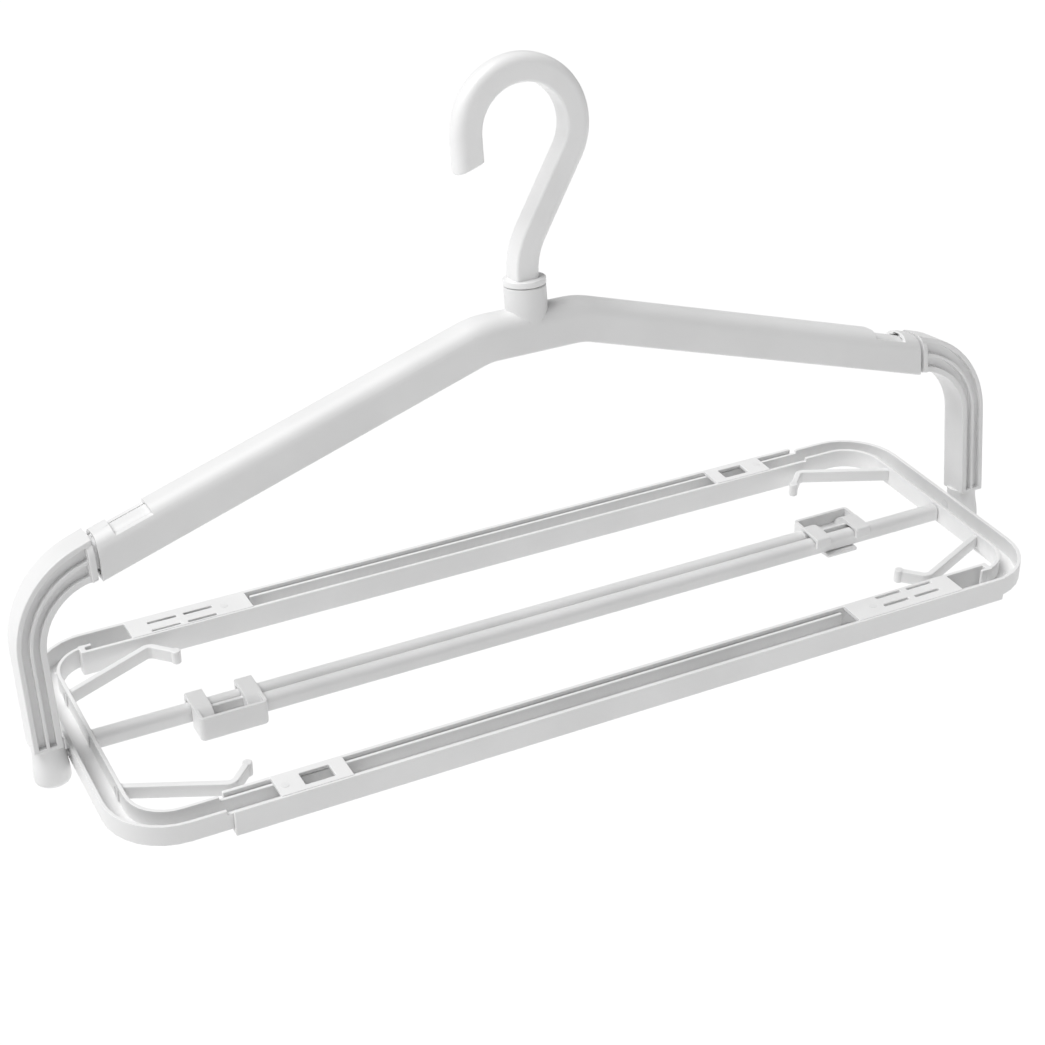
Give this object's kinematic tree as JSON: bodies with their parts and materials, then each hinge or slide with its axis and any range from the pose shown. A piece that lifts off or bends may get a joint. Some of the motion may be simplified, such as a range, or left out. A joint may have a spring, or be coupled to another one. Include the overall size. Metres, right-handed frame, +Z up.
{
  "type": "folding travel hanger",
  "caption": "Travel coat hanger: swivel hook, telescoping shoulder arms and a folding rack whose two halves telescope with them.",
  "frame": {"origin": "inside of the hook's crown above the neck, where the hook sits on the rail that carries it", "axes": "+Z up, +X along the shoulders to the side the hook opens away from, -Y the front"},
  "size_m": [0.4252, 0.1331, 0.2424],
  "materials": {
    "hook_plastic": "white moulded ABS, soft gloss",
    "frame_plastic": "white moulded polypropylene, satin",
    "inner_plastic": "natural white acetal, satin"
  },
  "bodies": {
    "hook": {"hook": "hook_plastic", "hook_retainer": "inner_plastic"},
    "beam": {"shoulder_beam": "frame_plastic"},
    "right_arm": {"right_arm": "frame_plastic", "right_pivot_pin": "inner_plastic"},
    "left_arm": {"left_arm": "frame_plastic", "left_pivot_pin": "inner_plastic"},
    "right_rack": {"right_rack_half": "frame_plastic", "right_centre_bar": "frame_plastic", "right_sleeve_side_peg": "frame_plastic", "right_leg_side_peg": "frame_plastic"},
    "left_rack": {"left_rack_half": "frame_plastic", "left_centre_bar": "frame_plastic", "left_sleeve_side_peg": "frame_plastic", "left_leg_side_peg": "frame_plastic"}
  },
  "joints": [
    {"name": "hook_swivel", "type": "hinge", "parent": "hook", "child": "beam", "pos_m": [0, 0, -0.09], "axis": [0, 0, 1], "continuous": true},
    {"name": "right_arm_slide", "type": "slide", "parent": "beam", "child": "right_arm", "axis": [0.9563, 0, -0.2924], "range_m": [0, 0.085]},
    {"name": "left_arm_slide", "type": "slide", "parent": "beam", "child": "left_arm", "axis": [-0.9563, 0, -0.2924], "range_m": [0, 0.085]},
    {"name": "right_rack_fold", "type": "hinge", "parent": "right_arm", "child": "right_rack", "pos_m": [0.2, 0, -0.216], "axis": [1, 0, 0], "range_deg": [-98.7, 81.3]},
    {"name": "left_rack_fold", "type": "hinge", "parent": "left_arm", "child": "left_rack", "pos_m": [-0.2, 0, -0.216], "axis": [1, 0, 0], "range_deg": [-98.7, 81.3]}
  ],
  "couplings": [
    {"joint": "left_arm_slide", "follows": "right_arm_slide", "ratio": 1},
    {"joint": "left_rack_fold", "follows": "right_rack_fold", "ratio": 1}
  ]
}
